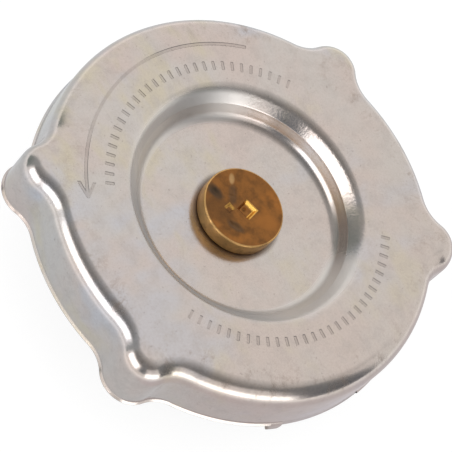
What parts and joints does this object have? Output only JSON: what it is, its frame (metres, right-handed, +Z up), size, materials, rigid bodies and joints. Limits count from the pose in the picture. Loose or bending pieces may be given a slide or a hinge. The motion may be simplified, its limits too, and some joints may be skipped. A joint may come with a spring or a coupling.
{
  "type": "radiator pressure cap",
  "caption": "Pressed steel bayonet cap with finger ears, a sunk dish and a brass centre rivet that carries a sprung neck seal and a caged pressure and vacuum valve.",
  "frame": {"origin": "middle of the neck seal's lower face, where the cap meets the filler neck", "axes": "+Z up through the top of the cap, X through the two turned-in tangs, -Y towards the front pair of ears"},
  "size_m": [0.0618, 0.062, 0.0253],
  "materials": {
    "plated_steel": "satin zinc plate with faint tints and scuffs",
    "brass": "dull tarnished brass",
    "washer_steel": "plated",
    "spring_sheet": "rolled spring sheet",
    "seal_rubber": "matt",
    "cage_steel": "plated",
    "spring_wire": "drawn wire",
    "plate_steel": "plated",
    "gasket_rubber": "matt",
    "valve_brass": "turned",
    "fine_wire": "drawn wire",
    "keeper_steel": "plated"
  },
  "bodies": {
    "shell_body": {"shell": "plated_steel"},
    "seal_stack": {"centre_rivet": "brass", "rivet_washer": "washer_steel", "spring_disc": "spring_sheet", "neck_seal": "seal_rubber", "spring_cage": "cage_steel", "pressure_spring": "spring_wire"},
    "pressure_valve": {"valve_plate": "plate_steel", "valve_gasket": "gasket_rubber", "vacuum_spring": "fine_wire"},
    "vacuum_body": {"vacuum_valve": "valve_brass", "spring_keeper": "keeper_steel"}
  },
  "joints": [
    {"name": "shell_turn", "type": "hinge", "parent": "shell_body", "child": "seal_stack", "pos_m": [0, 0, 0], "axis": [0, 0, 1], "continuous": true},
    {"name": "pressure_slide", "type": "slide", "parent": "seal_stack", "child": "pressure_valve", "axis": [0, 0, 1], "range_m": [0, 0.0035], "stiffness_N_per_m": 2500, "springref_m": -0.0003, "deforming": ["pressure_spring"]},
    {"name": "vacuum_slide", "type": "slide", "parent": "pressure_valve", "child": "vacuum_body", "axis": [0, 0, -1], "range_m": [0, 0.0016], "stiffness_N_per_m": 300, "springref_m": -0.0005, "deforming": ["vacuum_spring"]}
  ]
}
